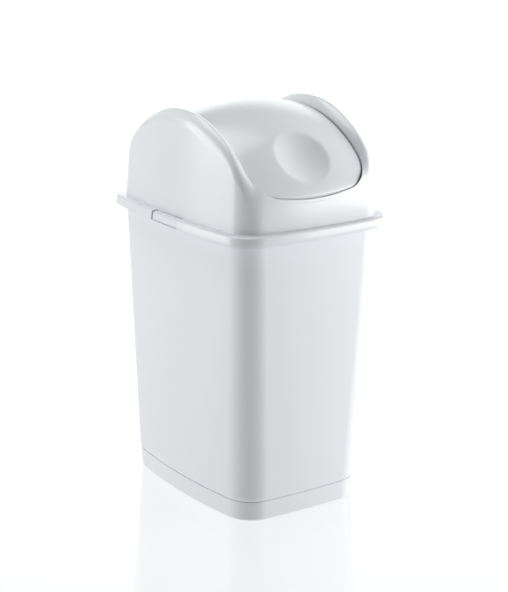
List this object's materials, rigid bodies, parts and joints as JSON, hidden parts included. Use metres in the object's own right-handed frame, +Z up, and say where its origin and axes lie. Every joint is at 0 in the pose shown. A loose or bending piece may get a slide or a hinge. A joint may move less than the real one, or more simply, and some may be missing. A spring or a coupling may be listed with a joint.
{
  "type": "swing-top wastebasket",
  "caption": "Slim tapered plastic wastebasket with a lift-off domed hood, a swinging flap with a finger dimple, and snap latches in the hood's skirt.",
  "frame": {"origin": "middle of the footprint, on the floor", "axes": "+Z up, -Y toward the front, which is the side with the finger dimple, +X to the right when seen from the back"},
  "size_m": [0.2038, 0.2544, 0.407],
  "materials": {
    "bucket_plastic": "smooth moulded, low gloss",
    "hood_plastic": "smooth moulded, glossy",
    "flap_plastic": "smooth moulded, glossy",
    "pin_plastic": "smooth moulded",
    "tongue_plastic": "smooth moulded, glossy"
  },
  "bodies": {
    "bucket": {"bucket": "bucket_plastic"},
    "hood": {"hood": "hood_plastic"},
    "flap": {"swing_flap": "flap_plastic", "left_pivot_pin": "pin_plastic", "right_pivot_pin": "pin_plastic"},
    "left_latch": {"left_latch_tongue": "tongue_plastic"},
    "right_latch": {"right_latch_tongue": "tongue_plastic"}
  },
  "joints": [
    {"name": "hood_lift", "type": "slide", "parent": "bucket", "child": "hood", "axis": [0, 0, 1], "range_m": [0, 0.13]},
    {"name": "flap_swing", "type": "hinge", "parent": "hood", "child": "flap", "pos_m": [0, 0, 0.386], "axis": [1, 0, 0], "range_deg": [-100, 100]},
    {"name": "left_latch_flex", "type": "hinge", "parent": "hood", "child": "left_latch", "pos_m": [-0.1017, -0.022, 0.2973], "axis": [0, 0, 1], "range_deg": [0, 8], "stiffness_Nm_per_rad": 2},
    {"name": "right_latch_flex", "type": "hinge", "parent": "hood", "child": "right_latch", "pos_m": [0.1017, -0.022, 0.2973], "axis": [0, 0, -1], "range_deg": [0, 8], "stiffness_Nm_per_rad": 2}
  ]
}
